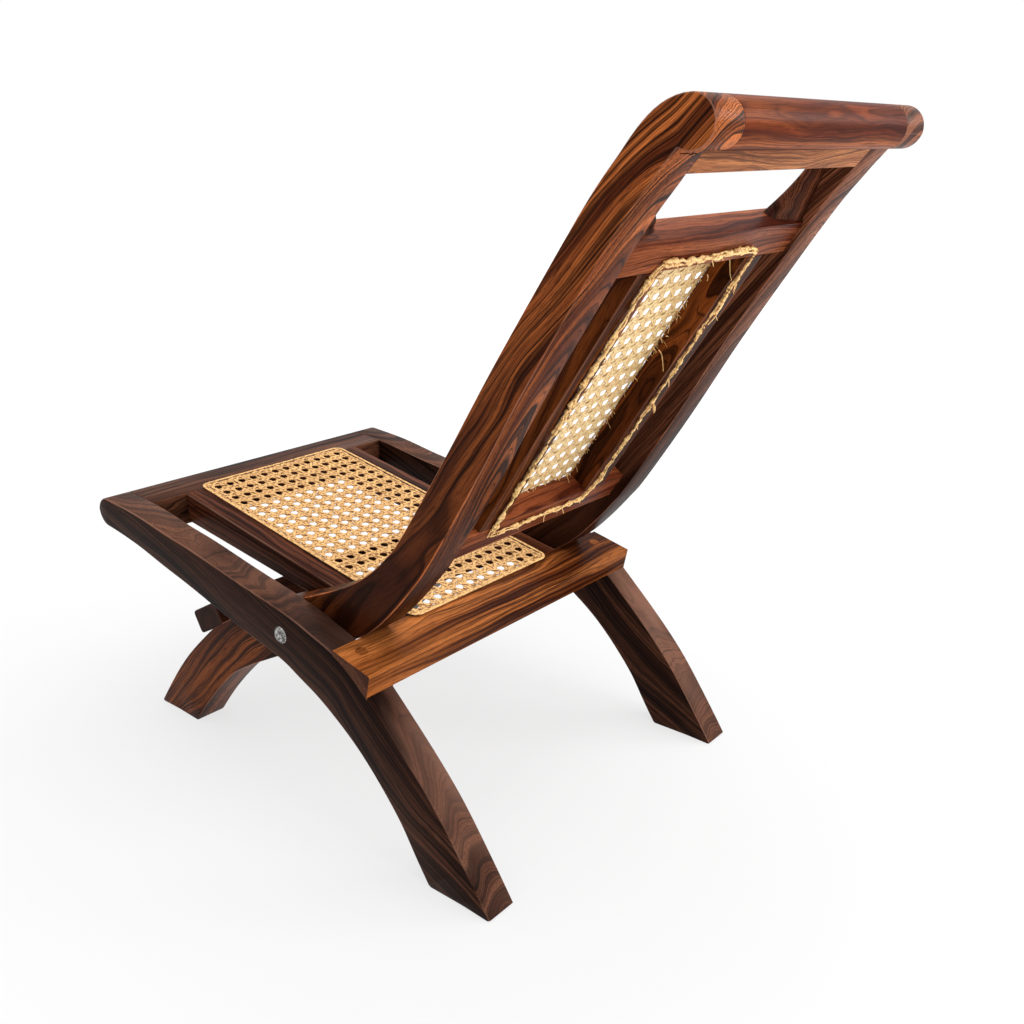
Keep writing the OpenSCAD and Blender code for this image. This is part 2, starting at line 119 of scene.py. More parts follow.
RAIL_LINE = curve([
    ahead(1.20, 1.08, NOSE_D), ahead(1, 1, NOSE_D), ahead(0.81, 0.875, NOSE_D + 4.5),
    ahead(0.63, 0.68, NOSE_D + 9.5), ahead(0.48, 0.53, RAIL_D - 10), ahead(0.25, 0.26, RAIL_D - 4),
    (0, -0.5, RAIL_D + 1), down_rear(0.153, 0.061, RAIL_D + 6), down_rear(0.334, 0.152, RAIL_D + 10.5),
    down_rear(0.55, 0.35, 68), down_rear(0.76, 0.603, 70.5), down_rear(0.9, 0.833, FOOT_D),
    down_rear(1.115, 1.21, FOOT_D), down_rear(1.3, 1.6, FOOT_D)], 6)
STILE_LINE = curve([
    down_front(1.27, 1.5, LEG_D), down_front(1.13, 1.22, LEG_D), down_front(0.865, 0.768, LEG_D - 1),
    down_front(0.656, 0.487, STILE_D + 3.5), down_front(0.522, 0.351, STILE_D + 3),
    down_front(0.244, 0.146, STILE_D + 3), (0, 0, STILE_D), up(0.145, 0.06, STILE_D - 2),
    up(0.208, 0.094, STILE_D - 6), up(0.27, 0.14, TOP_D + 8.5), up(0.329, 0.194, TOP_D + 4),
    up(0.377, 0.247, TOP_D + 3), up(0.502, 0.414, TOP_D + 1.5), up(0.628, 0.592, TOP_D - 1.5),
    up(0.745, 0.748, TOP_D - 3.5), up(0.8465, 0.8785, TOP_D - 5), up(0.9135, 0.952, TOP_D - 5.5),
    up(0.96, 1.01, TOP_D - 5.5)], 6)
RAIL_TOP, RAIL_LOW = edges_of(RAIL_LINE)
STILE_TOP, STILE_LOW = edges_of(STILE_LINE)
HEAD = Vector((LEAN, BACK_RISE))


def top_at(y):
    """Height of the side rail's upper edge."""
    for a, b in zip(RAIL_TOP, RAIL_TOP[1:]):
        if a.x <= y <= b.x:
            return a.y + (b.y - a.y) * (y - a.x) / (b.x - a.x)
    return RAIL_TOP[0].y


def turn(angle):
    return Vector((math.cos(math.radians(angle)), math.sin(math.radians(angle))))


def cross2(v):
    return Vector((-v.y, v.x))


def bezier(a, b, c, d, t):
    return (1 - t) ** 3 * a + 3 * t * (1 - t) ** 2 * b + 3 * t * t * (1 - t) * c + t ** 3 * d


# The seat's plane, from the front rail's rear edge to the rear rail's front edge
REST = 37                                          # point of the stile's line at the rear rail
rest_way = (STILE_LINE[REST + 1].xy - STILE_LINE[REST - 1].xy).normalized()
REAR_AT = STILE_LOW[REST] - 0.3 * cross2(rest_way)
REAR_WAY = turn(-12.6)
FRONT_Y = -REACH - NOSE_D / 2 + 75
FRONT_AT = Vector((FRONT_Y, top_at(FRONT_Y)))
REAR_W, REAR_T = 62, 29

# The back panel's plane: its rear face, from the bottom rail's top edge upwards
PANEL_FOOT, PANEL_HEAD = 60, 84                    # points of the stile's line beside the panel's ends
panel_run = STILE_LINE[PANEL_HEAD].xy - STILE_LINE[PANEL_FOOT].xy
PANEL_WAY = turn(math.degrees(math.atan2(panel_run.y, panel_run.x)) - 0.45)
PANEL_IN = cross2(PANEL_WAY)
PANEL_AT = STILE_LINE[PANEL_FOOT].xy - 10 * PANEL_IN + 7 * PANEL_WAY
PANEL_H, PANEL_X, STILE_W, CROSS_H, PANEL_D = 358, 81, 37, 38, 30
GRIP = PANEL_H + CROSS_H
HEAD_AT = STILE_LOW[-1]
HEAD_WAY = (HEAD + ROLL * turn(-120) - HEAD_AT).normalized()
HEAD_S = (HEAD_AT - PANEL_AT).dot(PANEL_WAY)


def on_panel(x, s, d):
    """Point of the back panel: x across, s up it, d forward from its rear face."""
    p = PANEL_AT + s * PANEL_WAY + d * PANEL_IN
    return Vector((x, p.x, p.y))


def world(p):
    return Vector((p[0], p[1] + PIVOT_Y, p[2] + PIVOT_Z)) / 1000


# ---- meshes -------------------------------------------------------------------
def finish_mesh(name, bm, material, body, replaces=(), smooth_angle=35, end_material=None):
    mesh = bpy.data.meshes.new(name)
    bmesh.ops.recalc_face_normals(bm, faces=bm.faces)
    bm.to_mesh(mesh)
    bm.free()
    for poly in mesh.polygons:
        poly.use_smooth = True
    mesh.set_sharp_from_angle(angle=math.radians(smooth_angle))
    mesh.materials.append(material)
    if end_material:
        mesh.materials.append(end_material)
        for poly in mesh.polygons:
            poly.material_index = 1 if abs(poly.normal.x) > 0.8 else 0
    piece = bpy.data.objects.new(name, mesh)
    bpy.context.scene.collection.objects.link(piece)
    if replaces:
        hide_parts(*replaces)
    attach(piece, body)


def vector_layer(bm, name):
    return bm.verts.layers.float_vector.get(name) or bm.verts.layers.float_vector.new(name)


def wrap(bm, rows):
    """Quads between rows of vertices, and a face over each end."""
    for a, b in zip(rows, rows[1:]):
        for k in range(len(a)):
            n = (k + 1) % len(a)
            bm.faces.new((a[k], a[n], b[n], b[k]))
    bm.faces.new(rows[0])
    bm.faces.new(rows[-1][::-1])


def skin(bm, rings, grains):
    """A closed skin over rings of points; each point carries its place in the grain."""
    layer = vector_layer(bm, "grain")
    made = []
    for ring, grain in zip(rings, grains):
        row = []
        for p, g in zip(ring, grain):
            v = bm.verts.new(world(p))
            v[layer] = Vector(g) / 1000
            row.append(v)
        made.append(row)
    wrap(bm, made)
    return made


def box_section(x0, x1, length, r0, r1, arcs=3):
    """Rounded rectangle: x from x0 to x1, t from 0 to length; r0 rounds the x0 side."""
    out = []
    for cx, ct, sx, st, r in ((x1, 0, -1, 1, r1), (x1, length, -1, -1, r1),
                              (x0, length, 1, -1, r0), (x0, 0, 1, 1, r0)):
        r = min(r, length * 0.48)
        start = {(-1, 1): -90, (-1, -1): 0, (1, -1): 90, (1, 1): 180}[(sx, st)]
        for k in range(arcs + 1):
            a = math.radians(start + 90 * k / arcs)
            out.append((cx + sx * r + r * math.cos(a), ct + st * r + r * math.sin(a)))
    return out


EASE = 0.0022                                      # how much the edges of a foot are eased, in metres


def between(steps, share):
    """Value at a share of the length, from a list of (share, value) steps."""
    for (s0, a0), (s1, a1) in zip(steps, steps[1:]):
        if s0 <= share <= s1:
            return a0 + (a1 - a0) * (share - s0) / (s1 - s0)
    return 0


def member(name, upper, lower, x0, x1, r0, r1, material, body, node, shift, side=1, floor=False,
           shade_and_tone_steps=((0, 0), (1, 0)), sheen_steps=((0, 0), (1, 0))):
    """A member sawn from a straight board between two edge lines of the side view, edges eased.

    Half of its figure keeps to the straight board and half follows the curve. The first list of
    steps darkens the wood at some shares of the length: painted shade, partly a darker tone. The
    second paints the face along the upper edge paler: a painted sheen. The eased edges are
    painted palest: a painted highlight along the arrises, with some wear.
    """
    rings, grains = [], []
    along = 0.0
    last = None
    chord = (upper[-1] - upper[0]).normalized()
    for i, (a, b) in enumerate(zip(upper, lower)):
        straight = 0.55 + 0.45 * min(max((i / len(upper) - 0.7) / 0.15, 0), 1)
        mid = (a + b) / 2
        along += (mid - last).length if last else 0
        last = mid
        length = max((a - b).length, 0.5)
        way = (a - b) / length
        ring, grain = [], []
        for x, t in box_section(x0, x1, length, r0, r1):
            p = b + way * t
            ring.append((side * x, p.x, p.y))
            across = (1 - straight) * (t - length / 2) + straight * (p - upper[-1]).dot(cross2(chord))
            grain.append((along + shift[0], across + shift[1], x - (x0 + x1) / 2 + shift[2]))
        rings.append(ring)
        grains.append(grain)
    bm = bmesh.new()
    # per vertex: painted shade and a darker tone where positive, painted sheen and edge highlights where
    # negative
    tone_shade_sheen = bm.verts.layers.float.new("tone_shade_sheen")
    made = skin(bm, rings, grains)
    for i, row in enumerate(made):
        share = i / (len(made) - 1)
        # dark is painted shade, partly a darker tone; pale is a painted sheen on the upper face
        dark, pale = between(shade_and_tone_steps, share), between(sheen_steps, share)
        for k, v in enumerate(row):
            # eased edges at -0.7: painted highlight along the arrises, with some wear; upper face: painted
            # sheen
            v[tone_shade_sheen] = -0.7 if k % 4 in (1, 2) else -pale if pale and k in (7, 8) else dark
    if floor:
        cut = bmesh.ops.bisect_plane(bm, geom=bm.verts[:] + bm.edges[:] + bm.faces[:],
                                     plane_co=(0, 0, EASE), plane_no=(0, 0, -1), clear_outer=True)
        rim = [e for e in cut["geom_cut"] if isinstance(e, bmesh.types.BMEdge)]
        sole = bmesh.ops.holes_fill(bm, edges=rim)["faces"]
        low = [v for v in bmesh.ops.extrude_face_region(bm, geom=sole)["geom"]
               if isinstance(v, bmesh.types.BMVert)]
        bmesh.ops.delete(bm, geom=sole, context="FACES")
        middle = sum((v.co for v in low), Vector()) / len(low)
        for v in low:
            inward = (middle - v.co).normalized()
            v.co = Vector((v.co.x + EASE * inward.x, v.co.y + EASE * inward.y, 0))
    finish_mesh(name, bm, material, body, [node])


def eased(points, r, arcs=3):
    """Polygon with each corner rounded."""
    out = []
    n = len(points)
    for i, p in enumerate(points):
        a, b = points[i - 1], points[(i + 1) % n]
        to_a, to_b = (a - p).normalized(), (b - p).normalized()
        if to_a.dot(to_b) < -0.94:
            out.append(p)
            continue
        reach = min(r, (a - p).length * 0.45, (b - p).length * 0.45)
        for k in range(arcs + 1):
            t = k / arcs
            out.append((1 - t) ** 2 * (p + to_a * reach) + 2 * t * (1 - t) * p
                       + t * t * (p + to_b * reach))
    return out


def bar_skin(bm, section, x0, x1, r, shift, end):
    """A rail along x with a side-view section, its long edges and ends eased."""
    section = [Vector(p) for p in section]
    outline = eased(section, r)
    middle = sum(outline, Vector((0, 0))) / len(outline)
    places = [(x0, end), ((x0 + x1) / 2, 0), (x1, end)]
    if end:
        places[1:2] = [(x0 + end, 0), places[1], (x1 - end, 0)]
    rings, grains = [], []
    for x, inset in places:
        ring, grain = [], []
        for p in outline:
            q = p + (middle - p).normalized() * inset
            ring.append((x, q.x, q.y))
            grain.append((x + shift[0], q.x - section[0].x + shift[1], q.y - section[0].y + shift[2]))
        rings.append(ring)
        grains.append(grain)
    skin(bm, rings, grains)


def bar(name, section, x0, x1, r, material, body, node, shift, end):
    """One rail as a piece of its own."""
    bm = bmesh.new()
    bar_skin(bm, section, x0, x1, r, shift, end)
    finish_mesh(name, bm, material, body, [node])


# ---- materials ------------------------------------------------------------------
class Tree:
    """Short hand for building a node tree."""

    def __init__(self, tree):
        self.tree = tree

    def node(self, kind, inputs=None, **settings):
        n = self.tree.nodes.new(kind)
        for key, value in settings.items():
            setattr(n, key, value)
        for key, value in (inputs or {}).items():
            self.put(n.inputs[key], value)
        return n

    def put(self, socket, value):
        if isinstance(value, bpy.types.NodeSocket):
            self.tree.links.new(value, socket)
        else:
            socket.default_value = value

    def math(self, operation, a, b=0.0, clamp=False):
        n = self.node("ShaderNodeMath", {0: a, 1: b}, operation=operation, use_clamp=clamp)
        return n.outputs[0]

    def noise(self, vector, scale, detail=3.0, rough=0.5, distort=0.0):
        n = self.node("ShaderNodeTexNoise", {"Vector": vector, "Scale": scale, "Detail": detail,
                                             "Roughness": rough, "Distortion": distort})
        return n.outputs["Fac"]

    def stretch(self, vector, scale):
        n = self.node("ShaderNodeVectorMath", {0: vector, 1: scale}, operation="MULTIPLY")
        return n.outputs[0]

    def span(self, value, low, high):
        n = self.node("ShaderNodeMapRange", {"Value": value, "From Min": low, "From Max": high})
        n.clamp = True
        return n.outputs[0]

    def mix(self, factor, a, b, blend="MIX"):
        n = self.tree.nodes.new("ShaderNodeMix")
        n.data_type = "RGBA"
        n.blend_type = blend
        self.put(n.inputs["Factor"], factor)
        self.put(n.inputs[6], a)
        self.put(n.inputs[7], b)
        return n.outputs[2]


def new_material(name):
    m = bpy.data.materials.new(name)
    m.use_nodes = True
    return m, Tree(m.node_tree), m.node_tree.nodes["Principled BSDF"]


def group(name, inputs, outputs):
    tree = bpy.data.node_groups.new(name, "ShaderNodeTree")
    for label, kind, default in inputs:
        s = tree.interface.new_socket(name=label, in_out="INPUT", socket_type=kind)
        if default is not None:
            s.default_value = default
    for label, kind in outputs:
        tree.interface.new_socket(name=label, in_out="OUTPUT", socket_type=kind)
    t = Tree(tree)
    return tree, t, t.node("NodeGroupInput").outputs, t.node("NodeGroupOutput").inputs


def wood_group():
    """Rosewood: growth rings around a wandering heart, with streaks and pores along the grain."""
    tree, t, given, out = group("Rosewood figure", [
        ("Grain", "NodeSocketVector", None), ("Dark", "NodeSocketColor", (0.02, 0.008, 0.006, 1)),
        ("Middle", "NodeSocketColor", (0.09, 0.028, 0.017, 1)),
        ("Light", "NodeSocketColor", (0.25, 0.09, 0.035, 1)),
        ("Veins", "NodeSocketFloat", 0.8), ("Glow", "NodeSocketFloat", 0.5),
        ("Swirl", "NodeSocketFloat", 1.0), ("Age", "NodeSocketFloat", 0.0)],
        [("Color", "NodeSocketColor"), ("Roughness", "NodeSocketFloat"), ("Height", "NodeSocketFloat")])
    grain = given["Grain"]
    drift = t.node("ShaderNodeTexNoise", {"Vector": t.stretch(grain, (4.5, 17.0, 17.0)), "Scale": 1.0,
                                          "Detail": 2.0, "Roughness": 0.45}).outputs["Color"]
    off = t.node("ShaderNodeVectorMath", {0: drift, 1: (0.5, 0.5, 0.5)}, operation="SUBTRACT").outputs[0]
    off = t.stretch(off, (0.0, 0.05, 0.05))
    push = t.node("ShaderNodeVectorMath", {0: off}, operation="SCALE")
    t.put(push.inputs["Scale"], given["Swirl"])
    flow = t.node("ShaderNodeVectorMath", {0: grain, 1: push.outputs[0]}, operation="ADD").outputs[0]
    axes = t.node("ShaderNodeSeparateXYZ", {0: flow}).outputs
    ring = t.node("ShaderNodeVectorMath", {0: t.stretch(flow, (0.0, 1.0, 1.0))}, operation="LENGTH")
    ring = ring.outputs["Value"]

    def rings(per_metre, along, depth, detail=2.0, rough=0.5):
        place = t.node("ShaderNodeCombineXYZ", {
            "X": t.math("MULTIPLY", ring, per_metre), "Y": t.math("MULTIPLY", axes["X"], along),
            "Z": depth})
        return t.noise(place.outputs[0], 1.0, detail, rough)

    broad = rings(70.0, 1.4, 2.0)
    band = rings(235.0, 1.8, 11.0, 2.5, 0.6)
    line = rings(330.0, 1.2, 23.0, 1.0, 0.4)
    fine = t.noise(t.stretch(flow, (9.0, 620.0, 620.0)), 1.0, 3.0, 0.6)
    patch = t.noise(t.stretch(grain, (5.0, 16.0, 16.0)), 1.0, 2.0, 0.5)
    pores = t.noise(t.stretch(grain, (55.0, 1700.0, 1700.0)), 1.0, 2.0, 0.5)
    color = t.mix(t.span(broad, 0.40, 0.60), given["Middle"], given["Light"])
    warm = t.math("MULTIPLY", t.span(patch, 0.40, 0.64), given["Glow"])
    color = t.mix(t.math("MULTIPLY", warm, t.span(fine, 0.3, 0.6)), color, given["Light"])
    smoke = t.math("MULTIPLY", t.span(broad, 0.49, 0.34), given["Veins"])
    color = t.mix(t.math("MULTIPLY", smoke, 0.58), color, given["Dark"])
    color = t.mix(t.math("MULTIPLY", t.span(band, 0.48, 0.63), given["Veins"]), color, given["Dark"])
    away = t.math("ABSOLUTE", t.math("SUBTRACT", line, 0.5))
    thin = t.math("SUBTRACT", 1.0, t.math("MULTIPLY", away, 22.0), True)
    color = t.mix(t.math("MULTIPLY", thin, given["Veins"]), color, given["Dark"])
    color = t.mix(t.math("MULTIPLY", t.span(fine, 0.50, 0.64), 0.55), color, given["Dark"])
    color = t.mix(t.math("MULTIPLY", t.span(pores, 0.54, 0.66), 0.55), color, given["Dark"])
    # painted shade: a positive value darkens the wood, partly as shade and partly as a darker tone
    color = t.mix(t.math("MULTIPLY", given["Age"], 0.9, True), color, given["Dark"])
    # painted sheen: a negative value turns the wood a pale greyish brown, a painted sheen on faces and a
    # painted highlight on eased edges, with some wear
    painted_sheen = t.math("MULTIPLY", t.math("MULTIPLY", given["Age"], -0.9, True), t.span(patch, 0.3, 0.6))
    color = t.mix(painted_sheen, color, (0.32, 0.16, 0.11, 1))
    t.put(out["Color"], color)
    t.put(out["Roughness"], t.math("ADD", 0.24, t.math("MULTIPLY", fine, 0.22)))
    t.put(out["Height"], t.math("ADD", t.math("MULTIPLY", pores, -0.6), t.math("MULTIPLY", fine, 0.5)))
    return tree


WOOD = wood_group()


def wood(name, dark, middle, light, veins, glow, swirl, shine):
    """One board's rosewood: shine is how strongly the oiled face mirrors the room."""
    m, t, shader = new_material(name)
    grain = t.node("ShaderNodeAttribute", attribute_name="grain", attribute_type="GEOMETRY")
    figure = t.node("ShaderNodeGroup", node_tree=WOOD)
    t.put(figure.inputs["Grain"], grain.outputs["Vector"])
    # reads the painted shade and sheen from the mesh
    shade_sheen_attr = t.node("ShaderNodeAttribute", attribute_name="tone_shade_sheen", attribute_type="GEOMETRY")
    t.put(figure.inputs["Age"], shade_sheen_attr.outputs["Fac"])
    for label, value in (("Dark", dark), ("Middle", middle), ("Light", light)):
        figure.inputs[label].default_value = (*value, 1)
    figure.inputs["Veins"].default_value = veins
    figure.inputs["Swirl"].default_value = swirl
    figure.inputs["Glow"].default_value = glow
    t.put(shader.inputs["Base Color"], figure.outputs["Color"])
    t.put(shader.inputs["Roughness"], figure.outputs["Roughness"])
    bump = t.node("ShaderNodeBump", {"Strength": 0.12, "Distance": 0.0006,
                                     "Height": figure.outputs["Height"]})
    t.put(shader.inputs["Normal"], bump.outputs["Normal"])
    shader.inputs["Specular IOR Level"].default_value = shine
    return m


def fibre_group():
    """Split cane: fine lines and brown flecks over a pale straw."""
    tree, t, given, out = group("Cane fibre", [
        ("Place", "NodeSocketVector", None), ("Pale", "NodeSocketColor", (0.75, 0.5, 0.26, 1)),
        ("Brown", "NodeSocketColor", (0.3, 0.12, 0.04, 1)), ("Fleck", "NodeSocketFloat", 0.5),
        ("Split", "NodeSocketVector", None)],
        [("Color", "NodeSocketColor"), ("Height", "NodeSocketFloat")])
    place = given["Place"]
    split = t.node("ShaderNodeSeparateXYZ", {0: given["Split"]}).outputs
    speck = t.noise(place, 260.0, 3.0, 0.7)
    broad = t.noise(place, 16.0, 2.0, 0.5)
    amount = t.math("MULTIPLY", t.span(speck, 0.50, 0.62), given["Fleck"])
    color = t.mix(t.math("MULTIPLY", t.span(broad, 0.35, 0.75), 0.18), given["Pale"], given["Brown"])
    color = t.mix(amount, color, given["Brown"])
    color = t.mix(t.math("MULTIPLY", t.span(split["Z"], 0.2, 1.0), 0.16), color, given["Brown"])
    # painted shade: the split is darker where it dips under another strand and along its edges, where the
    # gaps between strands fall in shade
    color = t.mix(t.math("MULTIPLY", split["Y"], 0.3), color, given["Brown"])
    color = t.mix(t.math("MULTIPLY", t.span(split["X"], 0.3, 0.8), 0.85), color, given["Brown"])
    t.put(out["Color"], color)
    t.put(out["Height"], speck)
    return tree


FIBRE = fibre_group()


def cane(name, pale, brown, fleck, shine):
    m, t, shader = new_material(name)
    place = t.node("ShaderNodeTexCoord")
    fibre = t.node("ShaderNodeGroup", node_tree=FIBRE)
    t.put(fibre.inputs["Place"], place.outputs["Object"])
    split = t.node("ShaderNodeAttribute", attribute_name="fibre", attribute_type="GEOMETRY")
    t.put(fibre.inputs["Split"], split.outputs["Vector"])
    fibre.inputs["Pale"].default_value = (*pale, 1)
    fibre.inputs["Brown"].default_value = (*brown, 1)
    fibre.inputs["Fleck"].default_value = fleck
    t.put(shader.inputs["Base Color"], fibre.outputs["Color"])
    bump = t.node("ShaderNodeBump", {"Strength": 0.3, "Distance": 0.0004,
                                     "Height": fibre.outputs["Height"]})
    t.put(shader.inputs["Normal"], bump.outputs["Normal"])
    shader.inputs["Roughness"].default_value = 0.5
    shader.inputs["Specular IOR Level"].default_value = shine
    return m


rail_wood = wood("rosewood_frame", dark=(0.004, 0.0014, 0.001), middle=(0.042, 0.013, 0.007),
                 light=(0.135, 0.050, 0.026), veins=0.95, glow=0.5, swirl=0.6, shine=0.03)
inner_wood = wood("rosewood_inner", dark=(0.008, 0.002, 0.001), middle=(0.060, 0.015, 0.007),
                  light=(0.17, 0.052, 0.024), veins=0.8, glow=0.4, swirl=0.5, shine=0.03)
leg_wood = wood("rosewood_figured", dark=(0.010, 0.002, 0.001), middle=(0.22, 0.046, 0.013),
                light=(0.62, 0.168, 0.041), veins=0.90, glow=0.45, swirl=0.6, shine=0.03)
# The far stile's wood is paler and greyer than the near stile's: partly a painted sheen on its rear face.
far_stile_sheen_wood = wood("rosewood_brown_sheen", dark=(0.012, 0.003, 0.0015), middle=(0.14, 0.042, 0.020),
                light=(0.38, 0.13, 0.06), veins=0.85, glow=0.35, swirl=0.4, shine=0.03)
red_wood = wood("rosewood_red", dark=(0.03, 0.005, 0.0025), middle=(0.145, 0.028, 0.010),
                light=(0.36, 0.100, 0.034), veins=0.75, glow=0.45, swirl=0.7, shine=0.04)
crest_wood = wood("rosewood_crest", dark=(0.03, 0.004, 0.002), middle=(0.17, 0.027, 0.006),
                  light=(0.42, 0.110, 0.024), veins=0.7, glow=0.45, swirl=0.5, shine=0.02)
bright_wood = wood("rosewood_bright", dark=(0.07, 0.016, 0.005), middle=(0.34, 0.10, 0.030),
                   light=(0.56, 0.21, 0.07), veins=0.7, glow=0.5, swirl=1.0, shine=0.03)
rear_wood = wood("rosewood_orange", dark=(0.022, 0.004, 0.0015), middle=(0.20, 0.048, 0.010),
                 light=(0.52, 0.165, 0.040), veins=0.92, glow=0.3, swirl=0.45, shine=0.03)
dark_wood = wood("rosewood_dark", dark=(0.004, 0.0015, 0.001), middle=(0.020, 0.006, 0.003),
                 light=(0.055, 0.016, 0.008), veins=0.6, glow=0.2, swirl=1.0, shine=0.03)
warm_wood = wood("rosewood_warm", dark=(0.010, 0.0025, 0.001), middle=(0.062, 0.014, 0.004),
                 light=(0.23, 0.060, 0.012), veins=0.8, glow=0.4, swirl=1.0, shine=0.03)
seat_straw = cane("cane_seat", (0.90, 0.54, 0.215), (0.20, 0.07, 0.018), 0.8, 0.15)
# The back's cane is paler than the seat's: partly painted light, offsetting the shade on the panel's rear
# face.
back_straw_lit = cane("cane_back", (1.0, 0.84, 0.45), (0.58, 0.26, 0.07), 0.5, 0.4)
lace_straw = cane("cane_lacing", (1.0, 0.67, 0.27), (0.42, 0.15, 0.035), 0.75, 0.4)

steel, steel_tree, steel_shader = new_material("polished_steel")
steel_place = steel_tree.node("ShaderNodeTexCoord")
smear = steel_tree.noise(steel_place.outputs["Object"], 260.0, 3.0, 0.6)
mottled = steel_tree.mix(steel_tree.span(smear, 0.42, 0.60), (0.46, 0.45, 0.43, 1), (0.10, 0.095, 0.09, 1))
steel_tree.put(steel_shader.inputs["Base Color"], mottled)
steel_tree.put(steel_shader.inputs["Roughness"], steel_tree.math("MULTIPLY", smear, 0.4))
dents = steel_tree.noise(steel_place.outputs["Object"], 420.0, 2.0, 0.5)
steel_bump = steel_tree.node("ShaderNodeBump", {"Strength": 0.7, "Distance": 0.0012, "Height": dents})
steel_tree.put(steel_shader.inputs["Normal"], steel_bump.outputs["Normal"])
steel_shader.inputs["Metallic"].default_value = 1.0

# ---- the seat frame --------------------------------------------------------------
NOSE = RAIL_LINE[0].xy
nose_way = (RAIL_LINE[1].xy - RAIL_LINE[0].xy).normalized()
nose_up = cross2(nose_way)
nose_upper, nose_lower = [], []
INNER_FRONT_D, INNER_REAR_D = 42, 25               # depth of the inner rails at their ends
for k in range(14, 0, -1):
    angle = math.radians(90 * k / 14)
    centre = NOSE - nose_way * NOSE_D / 2 * math.sin(angle)
    half = max(NOSE_D / 2 * math.cos(angle), 0.6)
    nose_upper.append(centre + nose_up * half)
    nose_lower.append(centre - nose_up * half)
for side, word, shift in ((1, "left", (0, 30, 12)), (-1, "right", (830, 41, -16))):
    member(f"side_rail_{word}", nose_upper + RAIL_TOP, nose_lower + RAIL_LOW, XI, XO, 1.2, 2.2,
           rail_wood, SEAT, f"seat_side_rail_{word}", shift, side, floor=True,
           # painted shade along the side rail, partly a darker tone
           shade_and_tone_steps=((0, 0.25), (0.15, 0.6), (0.35, 0.75), (0.55, 0.7), (0.8, 0.45), (1, 0.2)),
           # painted sheen on the rail's top face and on the rear leg's rear face
           sheen_steps=((0, 0.05), (0.3, 0.15), (0.5, 0.2), (0.62, 0.1), (0.82, 0.55), (0.93, 0.3), (1, 0.05)))
    front_foot = FRONT_AT + INNER_FRONT_D * Vector((0, -1))
    rear_foot = REAR_AT + INNER_REAR_D * Vector((REAR_WAY.y, -REAR_WAY.x))
    member(f"inner_rail_{word}", [FRONT_AT, (FRONT_AT + REAR_AT) / 2, REAR_AT],
           [front_foot, (front_foot + rear_foot) / 2, rear_foot],
           XC, XR, 1.5, 2.5, inner_wood, SEAT, f"seat_inner_rail_{word}", (shift[0] + 300, 90, 60), side)

front_section = [p for p in RAIL_TOP if p.x < FRONT_Y - 2] + [FRONT_AT]
front_low = [p for p in RAIL_LOW if p.x < FRONT_Y - 2]
low_end = front_low[-1] + (front_low[-1] - front_low[-2]).normalized() * (FRONT_Y - front_low[-1].x)
front_section += [Vector((FRONT_Y, low_end.y))] + front_low[::-1]
front_section += [NOSE + NOSE_D / 2 * turn(math.degrees(math.atan2(nose_way.y, nose_way.x)) + a)
                  for a in range(264, 95, -9)]
bar("front_rail", front_section, -XI, XI, 1.5, rail_wood, SEAT, "seat_front_rail", (400, 230, 0), 0.4)


def board(at, way, width, thick):
    low = Vector((way.y, -way.x))
    return [at, at + way * width, at + way * width + low * thick, at + low * thick]


rear_front = REAR_AT + 0.25 * cross2(rest_way)
rear_board = board(rear_front, REAR_WAY, REAR_W, REAR_T)
REAR_GRAIN = (0, 25, 75)
rear_mesh = bmesh.new()
bar_skin(rear_mesh, rear_board, -XI, XI, 0.15, REAR_GRAIN, 0)
lap = [Vector((y, top_at(y) - 3)) for y in range(int(rear_board[2].x), int(REAR_AT.x) - 3, -6)]
lap = [p for p in lap if p.x < rear_board[2].x]
for x0, x1 in ((XI - 0.5, XO), (-XO, -XI + 0.5)):
    bar_skin(rear_mesh, [rear_front, rear_board[1], rear_board[2]] + lap, x0, x1, 0.4, REAR_GRAIN, 0)
finish_mesh("rear_rail", rear_mesh, rear_wood, SEAT, ["seat_rear_rail"], end_material=rail_wood)
# The pegs: back along the rail's slope, out from the middle, and each ring's radius and height
PEG_BACK, PEG_X = 20, 224
PEG_SHAPE = ((8.0, -4), (8.0, 0.05), (7.6, 0.35), (7.3, -0.2), (7.0, 0.35), (4.0, 0.45), (0.6, 0.5))
for side, word in ((1, "left"), (-1, "right")):
    peg = bmesh.new()
    centre = REAR_AT + REAR_WAY * PEG_BACK
    rings, grains = [], []
    for radius, lift in PEG_SHAPE:
        ring, grain = [], []
        for k in range(32):
            a = 2 * math.pi * k / 32
            p = centre + REAR_WAY * radius * math.sin(a) + lift * cross2(REAR_WAY)
            ring.append((side * PEG_X + radius * math.cos(a), p.x, p.y))
            grain.append((lift, radius * math.cos(a) * 3, radius * math.sin(a) * 3 + side * 40))
        rings.append(ring)
        grains.append(grain)
    skin(peg, rings, grains)
    finish_mesh(f"rail_peg_{word}", peg, rear_wood, SEAT, [f"rear_rail_peg_{word}"])

